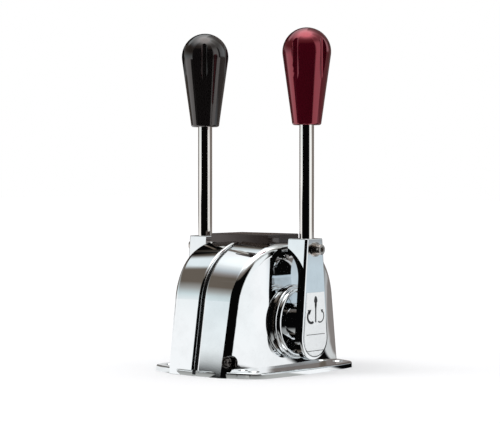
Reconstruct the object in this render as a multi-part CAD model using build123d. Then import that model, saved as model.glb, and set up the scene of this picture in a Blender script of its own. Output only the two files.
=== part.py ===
from build123d import *
import math
import os

# Twin-lever engine control head for a boat, top mounted.
# Millimetres. +Z is up and +X runs from the shift lever to the throttle lever.
# The operator stands on the -Y side. The origin is the middle of the base, on its underside.
# Every sub-part is modelled on the +X side and mirrored in the plane X = 0 for the other side.

os.makedirs("parts", exist_ok=True)

# ---- Housing ---------------------------------------------------------------
BASE_HALF_LENGTH = 77.0      # middle of the base to the front of the seam, at the underside
WALL_LEAN = 9.2              # degrees that the front and rear walls lean in
SHOULDER_RADIUS = 55.0       # arc from the wall up to the crown
CROWN_RADIUS = 84.0          # arc over the top
CREST_HEIGHT = 110.5         # height of the seam's edge at the crown
SEAM_WIDTH = 3.6             # open groove between the two half shells
SEAM_DEPTH = 3.2             # from the shells' crest down to the frame plate
SEAM_ROUND = 2.2             # rounding of the groove's edges
FALL_ANGLE = 4.0             # degrees that each half falls away from the seam
BASE_HALF_WIDTH = 43.4       # seam plane to the side wall at Y = 0, at the underside
SIDE_BOW_RADIUS = 240.0      # bow of the side wall, seen from above
SIDE_DRAFT = 0.8             # degrees that the side wall leans in
SIDE_ROUND = 7.5             # rounding between the arched top and the side wall
WALL = 3.0                   # shell wall
RIM_WIDTH = 3.2              # seam rim, along X
RIM_DEPTH = 10.0             # seam rim, from the outer face inwards

# ---- Base flange -----------------------------------------------------------
FLANGE_THICK = 5.0
FLANGE_HALF_WIDTH = BASE_HALF_WIDTH + 19.6    # at Y = 0
FLANGE_CORNER_X = FLANGE_HALF_WIDTH - 6.0     # where the bowed edges would meet
FLANGE_CORNER_Y = 62.5
FLANGE_CORNER_ROUND = 13.0
FLANGE_EDGE_ROUND = 1.4
MOUNT_HOLE = 5.5             # clearance hole for the deck screws
MOUNT_SINK = 10.5            # countersink on top
MOUNT_X = BASE_HALF_WIDTH + 1.6
MOUNT_Y = 55.0
DRAIN_X = 45.0               # drain slot in the front edge of the right half
DRAIN_WIDTH = 9.0
DRAIN_HEIGHT = 3.2
DRAIN_DEPTH = 12.0

# ---- Pivots ----------------------------------------------------------------
PIVOT_HEIGHT = 42.0
SHAFT_RADIUS = 6.0
SHAFT_CLEARANCE = 0.05       # radial, in a bush
SHAFT_INNER_END = 0.8        # inner end of each shaft from the plane X = 0
HUB_RADIUS = 30.5
BOSS_END = BASE_HALF_WIDTH + 0.4    # outer face of the fixed boss on the housing
BEARING_INNER_END = 25.4     # inner end of the outer bearing seat
BEARING_SEAT_WALL = 4.5
BUSH_WALL = 2.5
BUSH_FLANGE_RADIUS = 12.0
BUSH_FLANGE_THICK = 1.2
LINING_OUTER = 28.0
LINING_INNER = 17.0
LINING_THICK = 2.2
LINING_RECESS = 1.0          # depth of the boss recess that holds the lining
RUN_GAP = 0.3                # between the hub's face and the fixed boss

# ---- Frame plate between the shells ----------------------------------------
FRAME_BOSS_RADIUS = 13.0
FRAME_BOSS_END = 14.0
FRAME_FOOT = 1.0             # lower edge of the plate above the underside

# ---- Tie bolts ---------------------------------------------------------------
TIE_RADIUS = 2.5
TIE_HOLE_CLEARANCE = 0.25
TIE_LUG_RADIUS = 7.0
TIE_LUG_END = 13.0
TIE_HEAD_RADIUS = 4.25
TIE_HEAD_HEIGHT = 5.0
TIE_NUT_FLATS = 8.0
TIE_NUT_HEIGHT = 4.0
TIE_LOW_HEIGHT = 20.0
TIE_LOW_INSET = 12.5         # from the seam's edge at that height
TIE_TOP_INSET = 14.0         # below the crest

# ---- Top cap -----------------------------------------------------------------
CAP_HALF_WIDTH = 31.0
CAP_HALF_LENGTH = 20.0
CAP_TOP = CREST_HEIGHT + 3.5
CAP_EDGE_ROUND = 0.8
CAP_SCREW_X = 23.0
CAP_SCREW_RADIUS = 2.0
CAP_SCREW_HEAD = 3.6
CAP_SCREW_HEAD_HEIGHT = 2.4
CAP_SCREW_END = CAP_TOP - 2.0    # blind end in the cap
CAP_SEAT = CREST_HEIGHT - 4.0    # flat seat on the crown
CAP_DECK = 4.0               # thickness of the crown under the seat

# ---- Side screw that joins the halves at the front -----------------------------
SIDE_SCREW_INSET = 6.2       # from the seam's edge at that height
SIDE_SCREW_HEIGHT = 12.5
SIDE_SCREW_SEAT = 26.8       # floor of its pocket in the right half
SIDE_SCREW_END = -13.0       # tip, in the left half's blind lug
SIDE_SCREW_RADIUS = 2.5
SIDE_SCREW_HEAD = 3.8
SIDE_SCREW_HEAD_HEIGHT = 3.2
SIDE_SCREW_HEAD_ROUND = 1.3
SIDE_SCREW_WASHER = 4.8
SIDE_SCREW_WASHER_THICK = 0.8
SIDE_POCKET_RADIUS = 5.7
SIDE_LUG_RADIUS = 6.5
CROSS_WIDTH = 1.1
CROSS_DEPTH = 1.6

# ---- Hub and arm ---------------------------------------------------------------
HUB_RIM_THICK = 1.9
HUB_BEAD_RADIUS = 28.8       # step on the hub's face
HUB_FACE_RISE = 2.8          # the face inside the bead stands proud
HUB_EDGE_ROUND = 1.2
HUB_FACE_ROUND = 2.6
HUB_BOSS_RADIUS = 15.0
HUB_BOSS_REACH = 10.3        # from the hub's rim to the arm's plate
ARM_THICK = 7.0
ARM_BLOCK_DEPTH = 12.5       # from the plate's inner face to the block's
ARM_TOP = 111.0
ARM_BLOCK_FOOT = 100.5       # lower edge of the block's inner face
ARM_CURVE_FOOT = 78.0        # where the block's curve meets the plate
ARM_TOP_HALF_WIDTH = 10.8
ARM_FOOT_RADIUS = 18.1
ARM_FOOT_HEIGHT = 29.5       # centre of the round foot
ARM_EDGE_ROUND = 2.4
ARM_INNER_ROUND = 0.8
SHAFT_END_GAP = 1.0          # between the shaft and the arm's plate
ARM_SCREW_RADIUS = 2.0
ARM_SCREW_PITCH = 11.2       # from the pivot
ARM_SCREW_HEAD = 3.5
ARM_SCREW_HEAD_HEIGHT = 4.0
ARM_SCREW_SINK = 4.5         # depth of the counterbore in the hub's inner face
ARM_SCREW_REACH = 5.0        # into the arm's plate
ARM_SCREW_FLATS = 3.0

# ---- Label plate on the throttle arm -----------------------------------------
LABEL_THICK = 0.5
LABEL_INSET = 3.4            # from the arm's side outline
LABEL_TOP = 67.0

# ---- Cranks, keys and clips inside the housing ---------------------------------
CRANK_FACE = 18.0
CRANK_THICK = 6.0
CRANK_HUB_RADIUS = 11.0
CRANK_REACH = 29.0
CRANK_PIN_HOLE = 6.4
CRANK_END_RADIUS = 6.5
CLIP_THICK = 1.0
CLIP_RADIUS = 8.5
CLIP_GROOVE_DEPTH = 0.8
CLIP_GAP = 0.1
CLIP_OPENING = 4.0
SHAFT_CHAMFER = 0.6
KEY_SIZE = 4.0
KEY_HUB_INSET = 0.7          # from the hub's inner face

# ---- Clamp bolt on the arm --------------------------------------------------------
CLAMP_HEIGHT = 102.2
CLAMP_RADIUS = 2.5
CLAMP_WASHER_RADIUS = 6.0
CLAMP_WASHER_THICK = 1.2
CLAMP_LOCK_RADIUS = 4.9
CLAMP_LOCK_THICK = 1.3
CLAMP_HEAD_RADIUS = 4.25
CLAMP_HEAD_HEIGHT = 4.6
CLAMP_SOCKET_FLATS = 4.0
CLAMP_SOCKET_DEPTH = 2.4
CLAMP_HEAD_ROUND = 0.7
LOCK_SLIT = 1.0
CLAMP_TIP_GAP = 0.2          # between the bolt's tip and the rod's groove

# ---- Lever rod and knob -----------------------------------------------------------
ROD_INSET = 2.0              # from the plate's inner face to the rod's axis
ROD_RADIUS = 6.0
ROD_CLEARANCE = 0.05
ROD_BORE_FOOT = 93.0
ROD_END_GAP = 0.3
ROD_GROOVE_RADIUS = 4.4
ROD_GROOVE_SIDE = 0.3        # play on each side of the bolt in the groove
KNOB_FOOT = 204.0
KNOB_TOP = 284.0
KNOB_RADIUS = 20.0
KNOB_FOOT_RADIUS = 11.8
KNOB_EDGE_ROUND = 1.8
FLUTE_COUNT = 5
FLUTE_FLOOR = 17.0           # radius at the bottom of a flute
FLUTE_CUTTER = 3.6
FLUTE_PHASE_RIGHT = 280.0    # degrees from +X, first flute
FLUTE_PHASE_LEFT = 303.0
INSERT_FOOT = 2.0            # up from the knob's foot
INSERT_LENGTH = 34.0
INSERT_RADIUS = 8.5
SPIGOT_RADIUS = 5.0
SPIGOT_LENGTH = 30.0
ROD_CHAMFER = 0.8

FAR = 400.0                  # reach of cutting tools, larger than the part


# ---- Profiles ---------------------------------------------------------------------
def crown_turn(inset):
    """Angle from the vertical at which the crown arc meets the shoulder arc."""
    lean = math.radians(WALL_LEAN)
    shoulder = SHOULDER_RADIUS - inset
    crown = CROWN_RADIUS - inset
    crown_centre = CREST_HEIGHT - CROWN_RADIUS
    wall = BASE_HALF_LENGTH * math.cos(lean) - inset
    reach = (shoulder + crown_centre * math.sin(lean) - wall) / (shoulder - crown)
    return math.asin(reach) - lean


def seam_profile(inset, foot):
    """Closed (Y, Z) outline of the arch, offset inwards, from the height foot up."""
    lean = math.radians(WALL_LEAN)
    turn = crown_turn(inset)
    shoulder = SHOULDER_RADIUS - inset
    crown = CROWN_RADIUS - inset
    crown_centre = CREST_HEIGHT - CROWN_RADIUS
    step = shoulder - crown
    centre = Vector(-step * math.sin(turn), crown_centre - step * math.cos(turn))
    tangent = centre + Vector(shoulder * math.cos(lean), shoulder * math.sin(lean))
    corner = tangent + Vector(math.tan(lean), -1.0) * (tangent.Y - foot)
    join = Vector(crown * math.sin(turn), crown_centre + crown * math.cos(turn))
    middle_angle = (lean + math.pi / 2 - turn) / 2
    middle = centre + Vector(math.cos(middle_angle), math.sin(middle_angle)) * shoulder
    crest = Vector(0, crown_centre + crown)

    def flip(point):
        return Vector(-point.X, point.Y)

    with BuildSketch(Plane.YZ) as outline:
        with BuildLine():
            Line(corner, tangent)
            ThreePointArc(tangent, middle, join)
            ThreePointArc(join, crest, flip(join))
            ThreePointArc(flip(join), flip(middle), flip(tangent))
            Line(flip(tangent), flip(corner))
            Line(flip(corner), corner)
        make_face()
    return outline.sketch


def wall_y(height):
    """Y of the front seam edge at a height on the leaning wall."""
    return -(BASE_HALF_LENGTH - height * math.tan(math.radians(WALL_LEAN)))


def side_radius(height):
    """Radius of the bowed side wall at a height."""
    return SIDE_BOW_RADIUS - height * math.tan(math.radians(SIDE_DRAFT))


def bowed_block(inset, foot):
    """Upright cone whose flank is the bowed and drafted side wall, set in by inset."""
    top = 2 * CREST_HEIGHT
    align = (Align.CENTER, Align.CENTER, Align.MIN)
    cone = Cone(side_radius(foot) - inset, side_radius(top) - inset, top - foot, align=align)
    return Pos(BASE_HALF_WIDTH - SIDE_BOW_RADIUS, 0, foot) * Rot(0, 0, 180) * cone


def half_form(inset, start, side_inset, foot, round_radius):
    """Solid form of one half: arch that falls away from the seam, cut by the side wall."""
    profile = Pos(start, 0, 0) * seam_profile(inset, foot - CREST_HEIGHT)
    arch = extrude(profile, amount=BASE_HALF_WIDTH + SIDE_ROUND, dir=(1, 0, 0), taper=FALL_ANGLE)
    form = arch & bowed_block(side_inset, foot)
    if round_radius > 0:
        side = form.faces().sort_by(Axis.X)[-1]
        edges = [edge for edge in side.edges() if edge.bounding_box().max.Z > foot + 1.0]
        form = fillet(edges, round_radius)
    return form


def cylinder_x(radius, x_start, x_end, y=0.0, z=PIVOT_HEIGHT):
    """Cylinder along X between two planes."""
    low = min(x_start, x_end)
    length = abs(x_end - x_start)
    return Pos(low, y, z) * Rot(0, 90, 0) * Cylinder(radius, length, align=(Align.CENTER, Align.CENTER, Align.MIN))


def cylinder_z(radius, z_start, z_end, x=0.0, y=0.0):
    """Cylinder along Z between two planes."""
    return Pos(x, y, z_start) * Cylinder(radius, z_end - z_start, align=(Align.CENTER, Align.CENTER, Align.MIN))


def box_between(x_span, y_span, z_span):
    """Box between three pairs of planes."""
    centre = [(span[0] + span[1]) / 2 for span in (x_span, y_span, z_span)]
    size = [span[1] - span[0] for span in (x_span, y_span, z_span)]
    return Pos(*centre) * Box(*size)


def mirrored(shape):
    """The same piece on the -X side."""
    return mirror(shape, about=Plane.YZ)


# ---- Places shared by several pieces ------------------------------------------------
SEAM_X = SEAM_WIDTH / 2
BUSH_RADIUS = SHAFT_RADIUS + SHAFT_CLEARANCE + BUSH_WALL
TIE_PLACES = (
    (-wall_y(TIE_LOW_HEIGHT) - TIE_LOW_INSET, TIE_LOW_HEIGHT),
    (0.0, CREST_HEIGHT - TIE_TOP_INSET),
)
SIDE_SCREW_Y = wall_y(SIDE_SCREW_HEIGHT) + SIDE_SCREW_INSET
HUB_START = BOSS_END + LINING_THICK - LINING_RECESS + RUN_GAP
HUB_RIM_END = HUB_START + HUB_RIM_THICK
ARM_INNER = HUB_RIM_END + HUB_BOSS_REACH
ARM_OUTER = ARM_INNER + ARM_THICK
ARM_BLOCK_INNER = ARM_INNER - ARM_BLOCK_DEPTH
ARM_SCREW_END = ARM_INNER + ARM_SCREW_REACH
SHAFT_OUTER_END = ARM_INNER - SHAFT_END_GAP
KEY_HUB_START = HUB_START + KEY_HUB_INSET
ROD_X = ARM_INNER - ROD_INSET
CRANK_BACK = CRANK_FACE + CRANK_THICK
CLIP_PLACES = (CRANK_FACE - CLIP_GAP - CLIP_THICK, CRANK_BACK + CLIP_GAP)


# ---- Base flange ----------------------------------------------------------------------
def flange_blank():
    """Bowed plate for both halves, one piece, with its upper edge rounded."""
    with BuildSketch() as plan:
        with BuildLine():
            corner_x, corner_y = FLANGE_CORNER_X, FLANGE_CORNER_Y
            ThreePointArc((-corner_x, -corner_y), (0, -BASE_HALF_LENGTH), (corner_x, -corner_y))
            ThreePointArc((corner_x, -corner_y), (FLANGE_HALF_WIDTH, 0), (corner_x, corner_y))
            ThreePointArc((corner_x, corner_y), (0, BASE_HALF_LENGTH), (-corner_x, corner_y))
            ThreePointArc((-corner_x, corner_y), (-FLANGE_HALF_WIDTH, 0), (-corner_x, -corner_y))
        make_face()
        fillet(plan.vertices(), FLANGE_CORNER_ROUND)
    plate = extrude(plan.sketch, amount=FLANGE_THICK)
    return fillet(plate.edges().group_by(Axis.Z)[-1], FLANGE_EDGE_ROUND)


def mount_holes(side):
    """Two countersunk deck screw holes on one side of the seam."""
    tools = []
    for y in (-MOUNT_Y, MOUNT_Y):
        tools.append(cylinder_z(MOUNT_HOLE / 2, -1.0, FLANGE_THICK + 1.0, side * MOUNT_X, y))
        depth = (MOUNT_SINK - MOUNT_HOLE) / 2
        sink = Cone(MOUNT_HOLE / 2, MOUNT_SINK / 2, depth, align=(Align.CENTER, Align.CENTER, Align.MAX))
        tools.append(Pos(side * MOUNT_X, y, FLANGE_THICK) * sink)
    return tools


# ---- Half shells ------------------------------------------------------------------------
def outer_half():
    """Outside of one half shell above the underside, without its flange."""
    return half_form(0.0, SEAM_X, 0.0, 0.0, SIDE_ROUND)


def seam_edge_chain(shape):
    """Edges of the groove's lip on one half."""
    picked = []
    for edge in shape.edges():
        box = edge.bounding_box()
        on_seam = abs(box.min.X - SEAM_X) < 1e-3 and abs(box.max.X - SEAM_X) < 1e-3
        if on_seam and box.max.Z > 1.0:
            picked.append(edge)
    return picked


def cap_deck():
    """Solid crown under the cap, which carries it and its screws."""
    half_length = CAP_HALF_LENGTH + WALL
    return box_between((0, FAR), (-half_length, half_length), (CAP_SEAT - CAP_DECK, FAR))


def cap_pocket():
    """Flat seat for the cap, cut into the crown."""
    return box_between((-FAR, FAR), (-CAP_HALF_LENGTH, CAP_HALF_LENGTH), (CAP_SEAT, FAR))


def half_shell():
    """One cast half: arched wall, flange, hub boss, bearing seat, seam rim and tie lugs."""
    outside = outer_half()
    outside = fillet(seam_edge_chain(outside), SEAM_ROUND)
    flange = flange_blank() & box_between((SEAM_X, FAR), (-FAR, FAR), (0, FAR))
    boss = cylinder_x(HUB_RADIUS, BEARING_INNER_END, BOSS_END)
    body = outside + flange + boss

    cavity = half_form(WALL, SEAM_X, WALL, -1.0, 0.0)
    rim = half_form(WALL - 1.0, SEAM_X, 0.0, -1.0, 0.0)
    rim &= box_between((0, SEAM_X + RIM_WIDTH), (-FAR, FAR), (-FAR, FAR))
    rim -= half_form(RIM_DEPTH, 0.0, 0.0, -2.0, 0.0)
    cavity -= rim
    seat_radius = BUSH_RADIUS + BEARING_SEAT_WALL
    cavity -= cylinder_x(seat_radius, BEARING_INNER_END, FAR)
    for y, z in TIE_PLACES:
        cavity -= cylinder_x(TIE_LUG_RADIUS, SEAM_X, TIE_LUG_END, y, z)
    cavity -= side_bore(SIDE_LUG_RADIUS, SEAM_X, BASE_HALF_WIDTH)
    cavity -= cap_deck()
    body -= cavity
    body -= cap_pocket()

    body -= cylinder_x(BUSH_RADIUS, 0.0, BOSS_END + 1.0)
    lining_seat = cylinder_x(LINING_OUTER, BOSS_END - LINING_RECESS, BOSS_END + 1.0)
    lining_seat -= cylinder_x(LINING_INNER, 0.0, FAR)
    body -= lining_seat
    for y, z in TIE_PLACES:
        body -= cylinder_x(TIE_RADIUS + TIE_HOLE_CLEARANCE, 0.0, TIE_LUG_END + 1.0, y, z)
    body -= cylinder_z(CAP_SCREW_RADIUS, 0.0, FAR, CAP_SCREW_X)
    return body


def side_bore(radius, start, end):
    """Cylinder on the side screw's axis."""
    return cylinder_x(radius, start, end, SIDE_SCREW_Y, SIDE_SCREW_HEIGHT)


def left_housing_shell():
    """The left half, with the side screw's blind threaded hole."""
    shell = mirrored(half_shell()) - side_bore(SIDE_SCREW_RADIUS, SIDE_SCREW_END, 0.0)
    for tool in mount_holes(-1):
        shell -= tool
    return shell


def right_housing_shell():
    """The right half also has the drain slot and the side screw's pocket."""
    shell = half_shell()
    shell -= side_bore(SIDE_POCKET_RADIUS, SIDE_SCREW_SEAT, FAR)
    shell -= side_bore(SIDE_SCREW_RADIUS + TIE_HOLE_CLEARANCE, 0.0, FAR)
    slot_x = (DRAIN_X - DRAIN_WIDTH / 2, DRAIN_X + DRAIN_WIDTH / 2)
    shell -= box_between(slot_x, (-BASE_HALF_LENGTH, -BASE_HALF_LENGTH + DRAIN_DEPTH), (-1.0, DRAIN_HEIGHT))
    for tool in mount_holes(1):
        shell -= tool
    return shell


def centre_frame():
    """Plate clamped between the shells, with a boss that carries both shafts' inner ends."""
    plate = extrude(Pos(-SEAM_X, 0, 0) * seam_profile(SEAM_DEPTH, FRAME_FOOT), amount=SEAM_WIDTH, dir=(1, 0, 0))
    frame = plate + cylinder_x(FRAME_BOSS_RADIUS, -FRAME_BOSS_END, FRAME_BOSS_END)
    frame -= cylinder_x(BUSH_RADIUS, -FRAME_BOSS_END - 1.0, FRAME_BOSS_END + 1.0)
    frame -= cap_pocket()
    for y, z in TIE_PLACES:
        frame -= cylinder_x(TIE_RADIUS + TIE_HOLE_CLEARANCE, -FAR, FAR, y, z)
    return frame - side_bore(SIDE_SCREW_RADIUS + TIE_HOLE_CLEARANCE, -FAR, FAR)


# ---- Top cap ------------------------------------------------------------------------------
def cap_blank():
    """Cap before it is cut to the shells: a flat block with rounded upper edges."""
    block = box_between(
        (-CAP_HALF_WIDTH, CAP_HALF_WIDTH),
        (-CAP_HALF_LENGTH, CAP_HALF_LENGTH),
        (CAP_SEAT, CAP_TOP),
    )
    return fillet(block.edges().group_by(Axis.Z)[-1], CAP_EDGE_ROUND)


def top_cap():
    """Flat cap on the crown's seat; it bridges the seam."""
    cap = cap_blank()
    for x in (-CAP_SCREW_X, CAP_SCREW_X):
        cap -= cylinder_z(CAP_SCREW_RADIUS, 0.0, CAP_SCREW_END, x)
    return cap


def cap_screws():
    """Two screws driven up through the shells' crowns into the cap."""
    seat = CAP_SEAT - CAP_DECK
    screws = []
    for x in (-CAP_SCREW_X, CAP_SCREW_X):
        shank = cylinder_z(CAP_SCREW_RADIUS, seat, CAP_SCREW_END, x)
        head = cylinder_z(CAP_SCREW_HEAD, seat - CAP_SCREW_HEAD_HEIGHT, seat, x)
        recess = cross_recess(CAP_SCREW_HEAD)
        screws.append(shank + head - Pos(x, 0, seat - CAP_SCREW_HEAD_HEIGHT) * recess)
    return Compound(screws)


def cross_recess(head_radius):
    """Cross cut into a screw head whose outer face lies on the plane Z = 0, from below."""
    length = head_radius
    slot = Box(length, CROSS_WIDTH, CROSS_DEPTH * 2)
    return slot + Rot(0, 0, 90) * slot


# ---- Fasteners of the housing ------------------------------------------------------------------
def hexagon_prism(flats, height):
    """Hexagonal prism that stands on the plane Z = 0."""
    return extrude(RegularPolygon(flats / 2, 6, major_radius=False), amount=height)


def tie_bolts():
    """Socket bolts along X that clamp the shells and the frame plate at the rear and the top."""
    bolts = []
    for y, z in TIE_PLACES:
        shank = cylinder_x(TIE_RADIUS, -TIE_LUG_END, TIE_LUG_END + TIE_NUT_HEIGHT + 1.0, y, z)
        head = cylinder_x(TIE_HEAD_RADIUS, -TIE_LUG_END - TIE_HEAD_HEIGHT, -TIE_LUG_END, y, z)
        socket = Rot(0, 90, 0) * hexagon_prism(CLAMP_SOCKET_FLATS, CLAMP_SOCKET_DEPTH)
        bolts.append(shank + head - Pos(-TIE_LUG_END - TIE_HEAD_HEIGHT, y, z) * socket)
    return Compound(bolts)


def tie_nuts():
    nuts = []
    for y, z in TIE_PLACES:
        nut = Pos(TIE_LUG_END, y, z) * Rot(0, 90, 0) * hexagon_prism(TIE_NUT_FLATS, TIE_NUT_HEIGHT)
        nuts.append(nut - cylinder_x(TIE_RADIUS, 0.0, FAR, y, z))
    return Compound(nuts)


def side_washer():
    """Washer under the side screw's head."""
    start = SIDE_SCREW_SEAT
    washer = cylinder_x(SIDE_SCREW_WASHER, start, start + SIDE_SCREW_WASHER_THICK, SIDE_SCREW_Y, SIDE_SCREW_HEIGHT)
    return washer - cylinder_x(SIDE_SCREW_RADIUS, 0.0, FAR, SIDE_SCREW_Y, SIDE_SCREW_HEIGHT)


def side_screw():
    """Long screw along X, with a domed cross-recess head in the right half's corner pocket."""
    seat = SIDE_SCREW_SEAT + SIDE_SCREW_WASHER_THICK
    face = seat + SIDE_SCREW_HEAD_HEIGHT
    shank = cylinder_x(SIDE_SCREW_RADIUS, SIDE_SCREW_END, seat, SIDE_SCREW_Y, SIDE_SCREW_HEIGHT)
    head = cylinder_x(SIDE_SCREW_HEAD, seat, face, SIDE_SCREW_Y, SIDE_SCREW_HEIGHT)
    head = fillet(head.edges().group_by(Axis.X)[-1], SIDE_SCREW_HEAD_ROUND)
    recess = Pos(face, SIDE_SCREW_Y, SIDE_SCREW_HEIGHT) * Rot(0, 90, 0) * cross_recess(SIDE_SCREW_HEAD)
    return shank + head - recess


# ---- Bearings and brake ---------------------------------------------------------------------------
def outer_bush():
    """Flanged bush in the housing's boss; its flange is the hub's thrust face."""
    bush = cylinder_x(BUSH_RADIUS, BEARING_INNER_END, BOSS_END)
    bush += cylinder_x(BUSH_FLANGE_RADIUS, BOSS_END, BOSS_END + BUSH_FLANGE_THICK)
    return bush - cylinder_x(SHAFT_RADIUS + SHAFT_CLEARANCE, 0.0, FAR)


def inner_bush():
    """Plain bush in the frame plate's boss."""
    bush = cylinder_x(BUSH_RADIUS, SHAFT_INNER_END, FRAME_BOSS_END)
    return bush - cylinder_x(SHAFT_RADIUS + SHAFT_CLEARANCE, 0.0, FAR)


def brake_lining():
    """Friction ring let into the fixed boss, facing the hub."""
    lining = cylinder_x(LINING_OUTER, BOSS_END - LINING_RECESS, BOSS_END - LINING_RECESS + LINING_THICK)
    return lining - cylinder_x(LINING_INNER, 0.0, FAR)


# ---- Hub, arm and label -----------------------------------------------------------------------------
def arm_screw_places():
    """(Y, Z) of the two screws that hold the arm to the hub."""
    return [(-ARM_SCREW_PITCH, PIVOT_HEIGHT), (ARM_SCREW_PITCH, PIVOT_HEIGHT)]


def hub():
    """Brake hub: a rimmed disc with a raised face and a boss that carries the arm."""
    rim = cylinder_x(HUB_RADIUS, HUB_START, HUB_RIM_END)
    rim = fillet(rim.edges().group_by(Axis.X)[-1], HUB_EDGE_ROUND)
    face = cylinder_x(HUB_BEAD_RADIUS, HUB_START, HUB_RIM_END + HUB_FACE_RISE)
    face = fillet(face.edges().group_by(Axis.X)[-1], HUB_FACE_ROUND)
    body = rim + face + cylinder_x(HUB_BOSS_RADIUS, HUB_START, ARM_INNER)
    body -= cylinder_x(SHAFT_RADIUS, 0.0, SHAFT_OUTER_END)
    body -= hub_key()
    for y, z in arm_screw_places():
        body -= cylinder_x(ARM_SCREW_RADIUS, 0.0, FAR, y, z)
        body -= cylinder_x(ARM_SCREW_HEAD + TIE_HOLE_CLEARANCE, 0.0, HUB_START + ARM_SCREW_SINK, y, z)
    return body


def arm_outline(inset, top):
    """(Y, Z) outline of the arm's outer face: straight tapered sides on a round foot."""
    foot_centre = Vector(0, ARM_FOOT_HEIGHT)
    radius = ARM_FOOT_RADIUS - inset
    reach = Vector(ARM_TOP_HALF_WIDTH, ARM_TOP) - foot_centre
    bearing = math.atan2(reach.Y, reach.X)
    swing = math.acos(ARM_FOOT_RADIUS / reach.length)
    angle = bearing - swing
    tangent = foot_centre + Vector(math.cos(angle), math.sin(angle)) * radius
    upper = tangent + Vector(-math.tan(angle), 1.0) * (top - tangent.Y)

    def flip(point):
        return Vector(-point.X, point.Y)

    with BuildSketch(Plane.YZ) as outline:
        with BuildLine():
            Line(tangent, upper)
            Line(upper, flip(upper))
            Line(flip(upper), flip(tangent))
            ThreePointArc(flip(tangent), foot_centre + Vector(0, -radius), tangent)
        make_face()
    return outline.sketch


def arm_side_section():
    """(X, Z) section of the arm: a block at the top that curves down into a flat plate."""
    foot = ARM_FOOT_HEIGHT - ARM_FOOT_RADIUS - 1.0
    with BuildSketch(Plane.XZ) as section:
        with BuildLine():
            Polyline(
                (ARM_INNER, ARM_CURVE_FOOT),
                (ARM_INNER, foot),
                (ARM_OUTER, foot),
                (ARM_OUTER, ARM_TOP),
                (ARM_BLOCK_INNER, ARM_TOP),
                (ARM_BLOCK_INNER, ARM_BLOCK_FOOT),
            )
            TangentArc((ARM_INNER, ARM_CURVE_FOOT), (ARM_BLOCK_INNER, ARM_BLOCK_FOOT), tangent=(0, 1))
        make_face()
    return section.sketch


def arm():
    """Cast arm with a rod socket in its block and a threaded hole for the clamp bolt."""
    width = ARM_FOOT_RADIUS + 1.0
    slab = extrude(arm_side_section(), amount=width, both=True)
    body = slab & extrude(arm_outline(0.0, ARM_TOP), amount=ARM_OUTER + 1.0, dir=(1, 0, 0))
    outer = body.faces().sort_by(Axis.X)[-1]
    top_edges = outer.edges().group_by(Axis.Z)[-1]
    body = fillet([edge for edge in outer.edges() if edge not in top_edges], ARM_EDGE_ROUND)
    body = fillet(body.edges().filter_by(GeomType.LINE).group_by(Axis.Z)[-1], ARM_INNER_ROUND)
    body -= cylinder_z(ROD_RADIUS + ROD_CLEARANCE, ROD_BORE_FOOT, FAR, ROD_X)
    body -= cylinder_x(CLAMP_RADIUS, ROD_X, FAR, 0.0, CLAMP_HEIGHT)
    for y, z in arm_screw_places():
        body -= cylinder_x(ARM_SCREW_RADIUS, 0.0, ARM_SCREW_END, y, z)
    return body


def arm_screws():
    """Two socket screws from the hub's inner face into the arm."""
    seat = HUB_START + ARM_SCREW_SINK
    screws = []
    for y, z in arm_screw_places():
        shank = cylinder_x(ARM_SCREW_RADIUS, seat, ARM_SCREW_END, y, z)
        head = cylinder_x(ARM_SCREW_HEAD, seat - ARM_SCREW_HEAD_HEIGHT, seat, y, z)
        socket = Rot(0, 90, 0) * hexagon_prism(ARM_SCREW_FLATS, CLAMP_SOCKET_DEPTH)
        screws.append(shank + head - Pos(seat - ARM_SCREW_HEAD_HEIGHT, y, z) * socket)
    return Compound(screws)


def label_plate():
    """Thin plate stuck on the throttle arm's outer face."""
    plate = extrude(Pos(ARM_OUTER, 0, 0) * arm_outline(LABEL_INSET, LABEL_TOP), amount=LABEL_THICK, dir=(1, 0, 0))
    return plate


# ---- Shaft, crank, keys and clips -----------------------------------------------------------------------
def hub_key():
    return box_between(
        (KEY_HUB_START, SHAFT_OUTER_END),
        (-KEY_SIZE / 2, KEY_SIZE / 2),
        (PIVOT_HEIGHT + SHAFT_RADIUS - KEY_SIZE / 2, PIVOT_HEIGHT + SHAFT_RADIUS + KEY_SIZE / 2),
    )


def crank_key():
    return box_between(
        (CRANK_FACE, CRANK_BACK),
        (-KEY_SIZE / 2, KEY_SIZE / 2),
        (PIVOT_HEIGHT + SHAFT_RADIUS - KEY_SIZE / 2, PIVOT_HEIGHT + SHAFT_RADIUS + KEY_SIZE / 2),
    )


def clip_ring(outer, inner, start):
    """Open spring ring around the shaft, with its gap downwards."""
    ring = cylinder_x(outer, start, start + CLIP_THICK) - cylinder_x(inner, 0.0, FAR)
    return ring - box_between((0, FAR), (-CLIP_OPENING / 2, CLIP_OPENING / 2), (0, PIVOT_HEIGHT))


def shaft():
    """Pivot shaft with keyways for the hub and the crank and two clip grooves."""
    body = cylinder_x(SHAFT_RADIUS, SHAFT_INNER_END, SHAFT_OUTER_END)
    body = chamfer(body.edges().group_by(Axis.X)[0], SHAFT_CHAMFER)
    body -= hub_key()
    body -= crank_key()
    for start in CLIP_PLACES:
        groove = cylinder_x(SHAFT_RADIUS + 1.0, start, start + CLIP_THICK)
        body -= groove - cylinder_x(SHAFT_RADIUS - CLIP_GROOVE_DEPTH, 0.0, FAR)
    return body


def shaft_keys():
    return Compound([hub_key(), crank_key()])


def shaft_clips():
    inner = SHAFT_RADIUS - CLIP_GROOVE_DEPTH
    return Compound([clip_ring(CLIP_RADIUS, inner, start) for start in CLIP_PLACES])


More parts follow.
